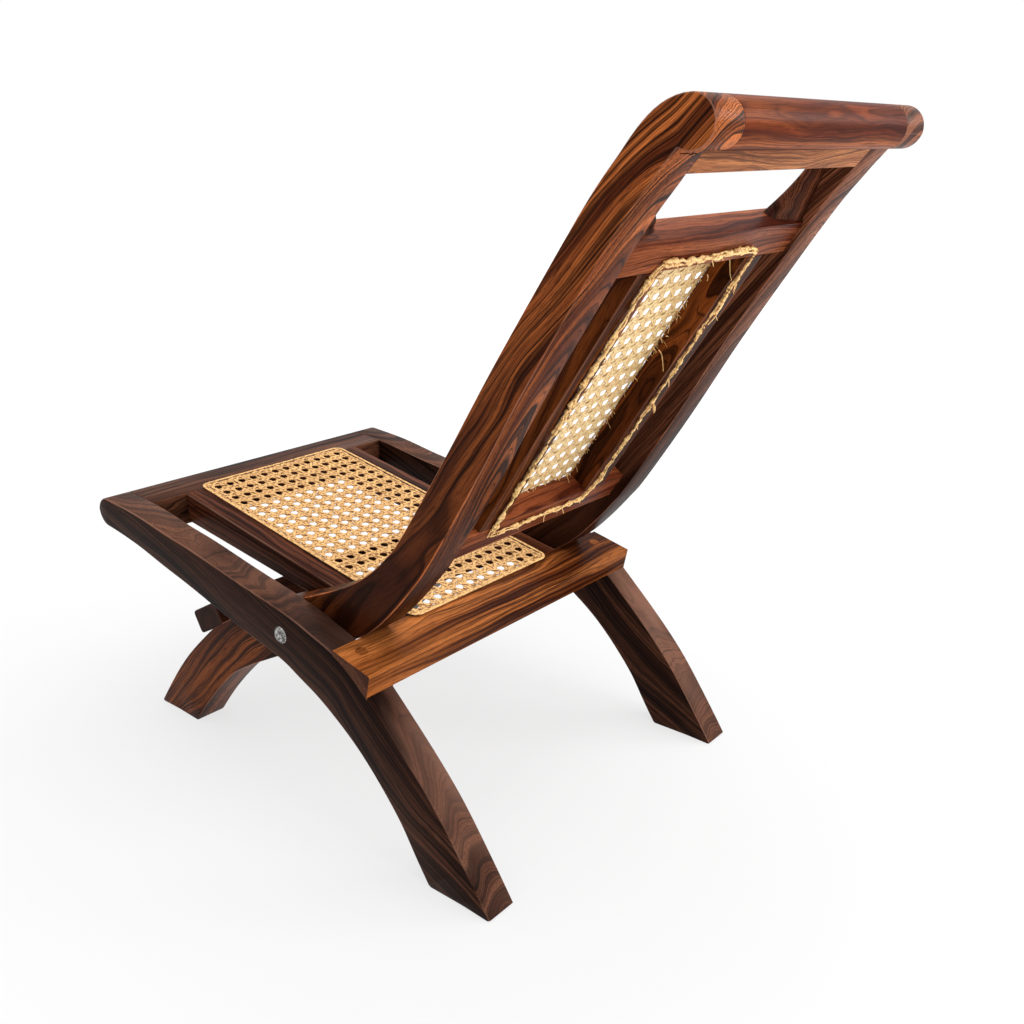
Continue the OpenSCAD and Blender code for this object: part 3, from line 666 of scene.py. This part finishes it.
# ---- the back frame -------------------------------------------------------------
top_way = (STILE_LINE[-1].xy - STILE_LINE[-2].xy).normalized()
head_upper, head_lower = [], []
for k in range(1, 25):
    t = k / 24
    if t < 0.42:
        head_upper.append(bezier(STILE_TOP[-1], STILE_TOP[-1] + 25 * top_way,
                                 HEAD + Vector((-25, ROLL)), HEAD + Vector((0, ROLL)), t / 0.42))
    else:
        head_upper.append(HEAD + ROLL * turn(90 - (t - 0.42) / 0.58 * 108))
    if t < 0.3:
        head_lower.append(STILE_LOW[-1].lerp(HEAD + ROLL * turn(-120), t / 0.3))
    else:
        head_lower.append(HEAD + ROLL * turn(-120 + (t - 0.3) / 0.7 * 100))
for side, word, shift in ((1, "left", (2100, 52, 15)), (-1, "right", (3300, 77, -25))):
    member(f"stile_{word}", STILE_TOP + head_upper, STILE_LOW + head_lower, XS, XB, 1.0, 1.5,
           leg_wood if side > 0 else far_stile_sheen_wood, BACK, f"back_stile_{word}", shift, side, floor=True,
           # painted shade on the stile, darkest towards the pivot, partly a darker tone
           shade_and_tone_steps=((0, 0.62), (0.2, 0.75), (0.3, 0.95), (0.48, 0.98), (0.58, 0.7), (0.7, 0.3), (0.8, 0),
                 (1, 0)))
    member(f"inner_stile_{word}",
           [PANEL_AT + s * PANEL_WAY + PANEL_D * PANEL_IN for s in (0, PANEL_H / 2, PANEL_H)],
           [PANEL_AT + s * PANEL_WAY for s in (0, PANEL_H / 2, PANEL_H)],
           PANEL_X, PANEL_X + STILE_W, 1.5, 1.5, warm_wood, BACK, f"back_inner_stile_{word}",
           (shift[0] + 700, 35, shift[2]), side)
    rings, grains = [], []
    height = HEAD_S - GRIP
    for k in range(19):
        h = bezier(Vector((56, 0)), Vector((42, height * 0.22)), Vector((22, height * 0.5)),
                   Vector((25, height - 0.5)), k / 18)
        x_in, s = XS - h.x, h.y

        def rear(x):
            return 3 + 0.171 * (XS - x) + 0.2 * s + 1.2 * math.sin(s * 0.35) * (x < XS - 5)

        front = 25
        section = [(XS, rear(XS)), (x_in + 9, rear(x_in + 9)), (x_in + 3, rear(x_in + 3) + 0.6),
                   (x_in, rear(x_in) + 3), (x_in, front - 3), (x_in + 3, front), (XS, front)]
        rings.append([on_panel(side * x, GRIP + s, d) for x, d in section])
        grains.append([(s * 0.8 + shift[0], d + 14, x - XS + shift[2]) for x, d in section])
    grip = bmesh.new()
    skin(grip, rings, grains)
    finish_mesh(f"hand_hold_bracket_{word}", grip, inner_wood, BACK, [f"handhold_bracket_{word}"], 50)


def panel_rect(s0, s1):
    return [PANEL_AT + s * PANEL_WAY + d * PANEL_IN
            for s, d in ((s0, 0), (s1, 0), (s1, PANEL_D), (s0, PANEL_D))]


bar("mid_rail_board", panel_rect(PANEL_H, GRIP), -XS, XS, 1.8, red_wood, BACK, "mid_rail",
    (90, 20, 55), 0.3)
bar("bottom_rail_board", panel_rect(-CROSS_H, 0), -XS, XS, 1.8, red_wood, BACK, "bottom_rail",
    (660, 70, 15), 0.3)
head_in = cross2(HEAD_WAY)
scoop = []
HEAD_RAIL_H, HEAD_RAIL_D = 31, 34
for a in range(-122, -215, -8):
    p = HEAD + (ROLL + 0.2) * turn(a)
    if (p - HEAD_AT).dot(HEAD_WAY) < HEAD_RAIL_H:
        scoop.append(p)
bar("head_rail_board", [HEAD_AT] + scoop + [HEAD_AT + HEAD_RAIL_H * HEAD_WAY + HEAD_RAIL_D * head_in,
                                            HEAD_AT + HEAD_RAIL_D * head_in],
    -XS, XS, 1.5, bright_wood, BACK, "head_rail", (1220, 5, 85), 0.3)
bar("crest", [HEAD + ROLL * turn(a) for a in range(0, 360, 6)], -XS, XS, 0.1, crest_wood, BACK,
    "crest_roll", (1700, 60, 25), 0.3)
STRETCH_H, STRETCH_D = 33, 62
stretch_way = turn(29)
stretch_low = STILE_TOP[18] - 2.5 * cross2(stretch_way)
stretch_high = stretch_low + STRETCH_H * cross2(stretch_way)
bar("stretcher", [stretch_low, stretch_high, stretch_high - STRETCH_D * stretch_way,
                  stretch_low - STRETCH_D * stretch_way],
    -XB, XB, 5, dark_wood, BACK, "front_stretcher", (1500, 33, 12), 1.5)

# ---- cane ------------------------------------------------------------------------
PITCH = 20.5
PAIR = 2.7                                         # half the distance between the two strands of a pair


def strand(bm, points, width, thick, normal, sunk_shade=None, tone=0.5):
    """A flat split of cane along the points, crowned on its upper face.

    The fibre layer holds how near a point is to the split's edge, how deep it lies, and its tone.
    """
    layer = vector_layer(bm, "fibre")
    rings = []
    for i, p in enumerate(points):
        a, b = points[max(i - 1, 0)], points[min(i + 1, len(points) - 1)]
        way = b - a
        if way.length < 1e-6:
            return
        across = way.normalized().cross(normal).normalized() * width / 2
        rise = normal * thick / 2
        rings.append([p - across, p - across * 0.55 + rise, p + across * 0.55 + rise, p + across,
                      p + across * 0.55 - rise, p - across * 0.55 - rise])
    made = []
    for i, ring in enumerate(rings):
        row = []
        for k, q in enumerate(ring):
            v = bm.verts.new(world(q))
            # the first value marks the split's edges and the second how deep it dips; the shader paints
            # shade from both
            v[layer] = (1.0 if k in (0, 3) else 0.0, sunk_shade[i] if sunk_shade else 0.0, tone)
            row.append(v)
        made.append(row)
    wrap(bm, made)


def weave(bm, rng, width, height, place, inside, normal, split=4.9, slant=4.7):
    """Six-way cane: pairs along and across, and a single strand on each slant."""
    nx, ny = round(width / PITCH), round(height / PITCH)
    px, py = width / nx, height / ny
    step = 0.8

    def run(path, split_width):
        part, sunk_shade = [], []
        tone = rng.random()
        for x, y, h in path + [(-1e6, -1e6, 0)]:
            if x > -1e5 and inside(x, y, rng):
                part.append(place(x, y, h))
                sunk_shade.append(min(max(0.5 - h / 2, 0), 1))
                continue
            if len(part) > 1:
                strand(bm, part, split_width, 0.9, normal, sunk_shade, tone)
            part, sunk_shade = [], []

    for i in range(nx):
        for k in (-1, 1):
            x = (i + 0.5) * px + k * PAIR
            path = [(x, 0, 0)]
            for j in range(ny):
                for m in (-1, 1):
                    over = step if (i + j + (k + m) // 2) % 2 == 0 else -step
                    path.append((x + rng.uniform(-0.25, 0.25), (j + 0.5) * py + m * PAIR, over))
                path.append((x, (j + 1) * py, 0))
            run(path, split)
    for j in range(ny):
        for m in (-1, 1):
            y = (j + 0.5) * py + m * PAIR
            path = [(0, y, 0)]
            for i in range(nx):
                for k in (-1, 1):
                    over = -step if (i + j + (k + m) // 2) % 2 == 0 else step
                    path.append(((i + 0.5) * px + k * PAIR, y + rng.uniform(-0.25, 0.25), over))
                path.append(((i + 1) * px, y, 0))
            run(path, split)
    for sign in (-1, 1):
        for c in range(-ny, nx + ny + 1):
            path = []
            for q in range(0, 2 * ny + 1):
                v = q / 2
                u = c + 0.5 + sign * v
                if 0 <= u <= nx:
                    over = (1.25 if q % 2 else -1.25) * sign
                    path.append((u * px, v * py, over * step * 1.6))
            run(path, slant)


seat_rng = random.Random(11)
LAP = 11
seat_w = 2 * (XC + LAP)
cane_front = Vector((FRONT_Y - LAP, top_at(FRONT_Y - LAP)))
seat_path = [cane_front, FRONT_AT, REAR_AT, REAR_AT + LAP * REAR_WAY]
seat_lengths = [(b - a).length for a, b in zip(seat_path, seat_path[1:])]
seat_l = sum(seat_lengths)


def seat_place(x, y, h):
    rest, k = y, 0
    while k < 2 and rest > seat_lengths[k]:
        rest -= seat_lengths[k]
        k += 1
    a, b = seat_path[k], seat_path[k + 1]
    p = a + (b - a) * rest / seat_lengths[k]
    mid = math.sin(math.pi * min(max(y / seat_l, 0), 1)) * math.sin(math.pi * min(max(x / seat_w, 0), 1))
    return Vector((x - seat_w / 2, p.x, p.y + 1.5 + h - 3.0 * mid))


def in_rounded(x, y, w, l, r, inset):
    dx = max(r - (x - inset), (x - (w - inset)) + r, 0)
    dy = max(r - (y - inset), (y - (l - inset)) + r, 0)
    return math.hypot(dx, dy) <= r + 0.01


seat_cane = bmesh.new()
seat_normal = Vector((0, 0.19, 0.98)).normalized()
weave(seat_cane, seat_rng, seat_w, seat_l, seat_place,
      lambda x, y, rng: in_rounded(x, y, seat_w, seat_l, 15, 0.8), seat_normal)
finish_mesh("seat_cane_weave", seat_cane, seat_straw, SEAT, ["seat_cane"], 60)


def border(bm, size, r, width, thick, place, lift, wobble, rng, normal):
    """A cane split laid round a rounded rectangle of the panel."""
    w, l = size
    path = []
    for cx, cy, start in ((w - r, r, -90), (w - r, l - r, 0), (r, l - r, 90), (r, r, 180)):
        for k in range(7):
            a = math.radians(start + 90 * k / 6)
            path.append((cx + r * math.cos(a), cy + r * math.sin(a)))
    full = []
    for (ax, ay), (bx, by) in zip(path, path[1:] + path[:1]):
        n = max(1, int(math.hypot(bx - ax, by - ay) / 8))
        full += [(ax + (bx - ax) * q / n, ay + (by - ay) * q / n) for q in range(n)]
    full.append(full[0])
    strand(bm, [place(x, y, lift + rng.uniform(-wobble, wobble)) for x, y in full], width, thick, normal)


def inset_place(place, d):
    return lambda x, y, h: place(x + d, y + d, h)


seat_edge = bmesh.new()
border(seat_edge, (seat_w - 5, seat_l - 5), 13, 4.6, 1.3, inset_place(seat_place, 2.5), 1.3, 0.15,
       seat_rng, seat_normal)
finish_mesh("seat_cane_edge", seat_edge, seat_straw, SEAT, ["seat_cane_binding"], 60)

back_rng = random.Random(23)
LACE = 12
back_x = PANEL_X + LACE + 2.5
back_top = PANEL_H + LACE + 2.5


def back_place(x, y, h):
    return on_panel(x - back_x, y - LACE, PANEL_D + 1.6 + h)


def torn_side(y):
    return -PANEL_X - 5.5 + 2.0 * math.sin(y * 0.11) * math.sin(y * 0.037 + 1) + 2.0 * math.sin(y * 0.43)


def torn_foot(x):
    return -5 + 1.8 * math.sin(x * 0.16 + 1) + 1.2 * math.sin(x * 0.41)


def back_inside(x, y, rng):
    px, s = x - back_x, y - LACE
    return (px > torn_side(s) + rng.uniform(-3, 2) and s > torn_foot(px) + rng.uniform(-3, 2)
            and px < back_x and s < back_top)


back_cane = bmesh.new()
back_normal = Vector((0, PANEL_IN.x, PANEL_IN.y))
weave(back_cane, back_rng, 2 * back_x, back_top + LACE, back_place, back_inside, back_normal, 5.3, 5.7)
finish_mesh("back_cane_weave", back_cane, back_straw_lit, BACK, ["back_cane"], 60)
back_edge = bmesh.new()
strand(back_edge, [on_panel(back_x - 2.5, s, PANEL_D + 3) for s in range(0, int(back_top), 8)],
       4.6, 1.2, back_normal)
strand(back_edge,
       [on_panel(x, back_top - 2.5, PANEL_D + 3) for x in range(int(-PANEL_X), int(back_x), 8)],
       4.6, 1.2, back_normal)
finish_mesh("back_cane_edge", back_edge, back_straw_lit, BACK, ["back_cane_binding"], 60)


# ---- loose fibres and the ragged lacing --------------------------------------------
def tube(bm, points, radii, sides=6):
    """A round fibre along the points, its radius changing from point to point."""
    rings = []
    frame_up = Vector((0.31, 0.52, 0.79)).normalized()
    for i, p in enumerate(points):
        before, after = points[max(i - 1, 0)], points[min(i + 1, len(points) - 1)]
        way = (after - before).normalized()
        u = way.cross(frame_up).normalized()
        v = way.cross(u)
        turns = [2 * math.pi * k / sides for k in range(sides)]
        rings.append([p + radii[i] * (math.cos(a) * u + math.sin(a) * v) for a in turns])
    wrap(bm, [[bm.verts.new(world(q)) for q in ring] for ring in rings])


def curl(start, way, length, droop, rng, n=7):
    """Points of a loose fibre that leaves start along way and droops."""
    out = [start]
    way = way.normalized()
    for _ in range(n):
        bend = Vector((rng.uniform(-0.3, 0.3), rng.uniform(-0.3, 0.3), rng.uniform(-0.3, 0.3) - droop))
        way = (way + bend).normalized()
        out.append(out[-1] + way * length / n)
    return out


fray = bmesh.new()
fray_rng = random.Random(5)
BACKWARD = -back_normal
UP_PANEL = Vector((0, PANEL_WAY.x, PANEL_WAY.y))
for k in range(95):
    s = fray_rng.uniform(4, PANEL_H)
    start = on_panel(-PANEL_X + fray_rng.uniform(0.5, 3), s, PANEL_D + 1)
    way = (Vector((-0.4, 0, 0)) + BACKWARD * fray_rng.uniform(0.3, 1.6)
           + UP_PANEL * fray_rng.uniform(-0.8, 0.5))
    length = fray_rng.uniform(3, 9) if k % 9 else fray_rng.uniform(10, 17)
    points = curl(start, way, length, 0.1, fray_rng)
    thick = fray_rng.uniform(0.25, 0.6)
    tube(fray, points, [thick * (1 - 0.6 * i / len(points)) for i in range(len(points))], 5)
for k in range(40):
    x = fray_rng.uniform(-PANEL_X + 4, PANEL_X)
    start = on_panel(x, fray_rng.uniform(1, 4), PANEL_D + 1)
    way = (-0.3 * UP_PANEL + BACKWARD * fray_rng.uniform(0.2, 1.8)
           + Vector((fray_rng.uniform(-0.6, 0.6), 0, 0)))
    length = fray_rng.uniform(3, 8) if k % 6 else fray_rng.uniform(9, 15)
    points = curl(start, way, length, 0.0, fray_rng)
    tube(fray, points, [0.5 * (1 - 0.6 * i / len(points)) for i in range(len(points))], 5)
# The longest ends: x, height up the panel, depth in it, way, length and droop
LONG_ENDS = ((-76, 352, 22, (-0.7, 0.4, -0.2), 34, 0.35), (-77, 318, 24, (-0.9, 0.2, -0.6), 14, 0.2),
             (-76, 214, 22, (-0.9, 0.3, -0.6), 26, 0.3), (-77, 232, 24, (-0.8, 0.2, 0.3), 12, 0.1))
for x, s, d, way, length, droop in LONG_ENDS:
    points = curl(on_panel(x, s, d), Vector(way), length, droop, fray_rng, 9)
    tube(fray, points, [0.7 - 0.04 * i for i in range(len(points))], 6)
finish_mesh("torn_cane_fibres", fray, lace_straw, BACK)


def lacing_run(bm, rng, a, b, radius, rear, lumps, stray=1.3):
    """Worn strands between two panel points: they twist unevenly, swell into knots and stray."""
    ax, as_ = a
    bx, bs = b
    length = math.hypot(bx - ax, bs - as_)
    n = max(8, int(length / 2.6))
    swell, sway, spin = [], [], []
    size, drift, angle = 1.0, 0.0, rng.uniform(0, 6)
    for _ in range(n + 1):
        size += (rng.choice((0.35, 0.7, 1.0, 1.5 + 0.5 * lumps)) - size) * 0.42
        drift += rng.uniform(-stray, stray) - drift * 0.3
        angle += rng.uniform(-0.35, 0.6)
        swell.append(size)
        sway.append(drift)
        spin.append(angle)
    upright = abs(bs - as_) > abs(bx - ax)
    for strand_no in range(2):
        points, radii = [], []
        for i in range(n + 1):
            t = i / n
            turned = spin[i] + strand_no * math.pi
            off = 0.75 * radius * math.cos(turned) + sway[i]
            depth = rear + radius * 0.4 * math.sin(turned)
            dx, ds = (off, 0) if upright else (0, off)
            points.append(on_panel(ax + (bx - ax) * t + dx, as_ + (bs - as_) * t + ds, -depth))
            radii.append(max(0.5, radius * 0.55 * swell[i] * (1.0 if strand_no else 0.75)))
        tube(bm, points, radii, 7)


lace = bmesh.new()
lace_rng = random.Random(31)
LX = PANEL_X + LACE
TOP_S = PANEL_H + LACE
lacing_run(lace, lace_rng, (LX + 4, -LACE), (LX + 6, TOP_S - 14), 2.9, 2.8, 1.8)
lacing_run(lace, lace_rng, (LX + 6, TOP_S - 14), (LX - 2, TOP_S), 2.6, 2.6, 1.0)
lacing_run(lace, lace_rng, (-LX + 7, TOP_S), (-LX + 3, 150), 2.4, 2.6, 2.0, 1.7)
lacing_run(lace, lace_rng, (-LX + 3, 150), (-LX, 22), 2.4, 2.6, 2.0, 1.7)
lacing_run(lace, lace_rng, (-LX, 22), (-LX + 16, -LACE + 2), 2.4, 2.6, 1.6, 1.0)
lacing_run(lace, lace_rng, (LX - 2, TOP_S), (-LX + 7, TOP_S), 3.3, 3.0, 1.8)
lacing_run(lace, lace_rng, (-LX + 16, -LACE + 2), (LX, -LACE), 2.6, 2.6, 1.8)
for k in range(16):
    wide = lace_rng.uniform(2.2, 4.4)
    side = k % 4
    if side < 2:
        x, s = (LX + 5, lace_rng.uniform(0, TOP_S))
    elif side == 2:
        x, s = (lace_rng.uniform(-LX + 7, LX), TOP_S)
    else:
        x, s = (-LX + 2, lace_rng.uniform(0, TOP_S))
    long = lace_rng.uniform(9, 24)
    lean = lace_rng.uniform(-0.16, 0.16)
    bits = []
    for q in (0, 0.2, 0.4, 0.6, 0.8, 1):
        run, stray = q * long - long / 2, lean * q * long
        dx, ds = (run, stray) if side == 2 else (stray, run)
        bits.append(on_panel(x + dx, s + ds, -3.6 - math.sin(q * 3.1)))
    strand(lace, bits, wide, 1.0, -back_normal, None, 0.2)
for k in range(34):
    side = lace_rng.choice(("left", "right", "top", "bottom"))
    if side in ("left", "right"):
        x, s = (LX if side == "left" else -LX), lace_rng.uniform(0, TOP_S)
    else:
        x, s = lace_rng.uniform(-LX, LX), (TOP_S if side == "top" else -LACE)
    way = UP_PANEL * lace_rng.uniform(-1, 1) + Vector((lace_rng.uniform(-1, 1), 0, 0)) + BACKWARD * 0.25
    points = curl(on_panel(x, s, -3), way, lace_rng.uniform(5, 12), 0.05, lace_rng, 6)
    tube(lace, points, [0.9 - 0.1 * i for i in range(len(points))], 5)
stub = curl(on_panel(-LX + 1, PANEL_H * 0.42, -4), Vector((-0.2, 0.2, -1)), 13, 0.25, lace_rng, 8)
tube(lace, stub, [0.8, 1.2, 1.7, 1.9, 1.8, 1.9, 1.6, 1.1, 0.5], 7)
finish_mesh("back_lacing", lace, lace_straw, BACK, ["back_cane_lacing"], 60)
crack = bmesh.new()
crack_rng = random.Random(3)
crack_line = [HEAD + Vector((-8 + 16 * q / 9, -ROLL - 1.4 + crack_rng.uniform(-0.5, 0.5)))
              for q in range(10)]
strand(crack, [Vector((XB, c.x, c.y)) for c in crack_line], 0.8, 0.12, Vector((1, 0, 0)))
finish_mesh("head_crack", crack, dark_wood, BACK)

# ---- hardware ----------------------------------------------------------------------
for name, node in nodes.items():
    if name.startswith("pivot_"):
        node.data.materials.clear()
        node.data.materials.append(steel)
        for poly in node.data.polygons:
            poly.use_smooth = True
        node.data.set_sharp_from_angle(angle=math.radians(40))

# ---- floor, light and camera ---------------------------------------------------------
def seen_directly(tree):
    """One for what the eye, a mirror or glass looks at, none for the light between the pieces."""
    rays = tree.node("ShaderNodeLightPath").outputs
    return tree.math("ADD", tree.math("ADD", rays["Is Camera Ray"], rays["Is Glossy Ray"]),
                     rays["Is Transmission Ray"], True)


floor_mesh = bpy.data.meshes.new("floor")
floor_mesh.from_pydata([(-9, -9, 0), (9, -9, 0), (9, 9, 0), (-9, 9, 0)], [], [(0, 1, 2, 3)])
floor = bpy.data.objects.new("floor", floor_mesh)
bpy.context.scene.collection.objects.link(floor)
paper, paper_tree, paper_shader = new_material("pale_floor")
paper_shader.inputs["Roughness"].default_value = 0.9
paper_shader.inputs["Specular IOR Level"].default_value = 0.0
paper_shader.inputs["Emission Color"].default_value = (1, 1, 1, 1)
paper_seen = seen_directly(paper_tree)
paper_place = paper_tree.node("ShaderNodeTexCoord").outputs["Object"]
far_off = paper_tree.node("ShaderNodeVectorMath", {0: paper_place}, operation="LENGTH").outputs["Value"]
lift = paper_tree.math("ADD", 0.72, paper_tree.math("MULTIPLY", paper_tree.span(far_off, 0.5, 3.0), 0.26))
paper_tree.put(paper_shader.inputs["Emission Strength"], paper_tree.math("MULTIPLY", lift, paper_seen))
paper_tree.put(paper_shader.inputs["Base Color"],
               paper_tree.mix(paper_seen, (0.85, 0.85, 0.85, 1), (0.19, 0.19, 0.191, 1)))
floor_mesh.materials.append(paper)

scene = bpy.context.scene
scene.view_settings.view_transform = "Standard"
backdrop = bpy.data.worlds.new("studio")
scene.world = backdrop
backdrop.use_nodes = True
sky = Tree(backdrop.node_tree)
sky_shader = backdrop.node_tree.nodes["Background"]
heading = sky.node("ShaderNodeSeparateXYZ", {0: sky.node("ShaderNodeTexCoord").outputs["Generated"]})
ceiling = sky.math("POWER", sky.span(heading.outputs["Z"], -0.1, 1.0), 1.7)
glow = sky.math("ADD", ceiling, 0.34)
sky.put(sky_shader.inputs["Color"], (1, 1, 1, 1))
sky.put(sky_shader.inputs["Strength"], sky.math("MAXIMUM", seen_directly(sky), glow))


def softbox(name, at, target, size, power):
    data = bpy.data.lights.new(name, "AREA")
    data.shape = "SQUARE"
    data.size = size
    data.energy = power
    lamp = bpy.data.objects.new(name, data)
    scene.collection.objects.link(lamp)
    lamp.location = at
    lamp.rotation_euler = (Vector(target) - Vector(at)).to_track_quat("-Z", "Y").to_euler()


softbox("overhead", (-0.5, 0.3, 2.6), (0, 0, 0.3), 2.4, 34)
softbox("side", (-2.2, 1.8, 1.5), (0, 0.1, 0.2), 1.0, 27)
softbox("behind", (-0.4, 2.6, 1.3), (0, 0.1, 0.3), 1.8, 22)

camera_data = bpy.data.cameras.new("camera")
camera_data.sensor_width = 36
camera_data.lens = 36 * 1039.06 / 1024
camera_data.clip_start = 0.05
camera = bpy.data.objects.new("camera", camera_data)
scene.collection.objects.link(camera)
scene.camera = camera
AZIMUTH, ELEVATION, ROLL_ANGLE = math.radians(130.50), math.radians(19.37), math.radians(-0.32)
CAMERA_TARGET = Vector((0, 0.085, 0.3597))
outward = Vector((math.sin(AZIMUTH) * math.cos(ELEVATION), -math.cos(AZIMUTH) * math.cos(ELEVATION),
                  math.sin(ELEVATION)))
camera.location = CAMERA_TARGET + 1.2826 * outward
camera.rotation_euler = ((-outward).to_track_quat("-Z", "Y").to_matrix()
                         @ Matrix.Rotation(ROLL_ANGLE, 3, "Z")).to_euler()
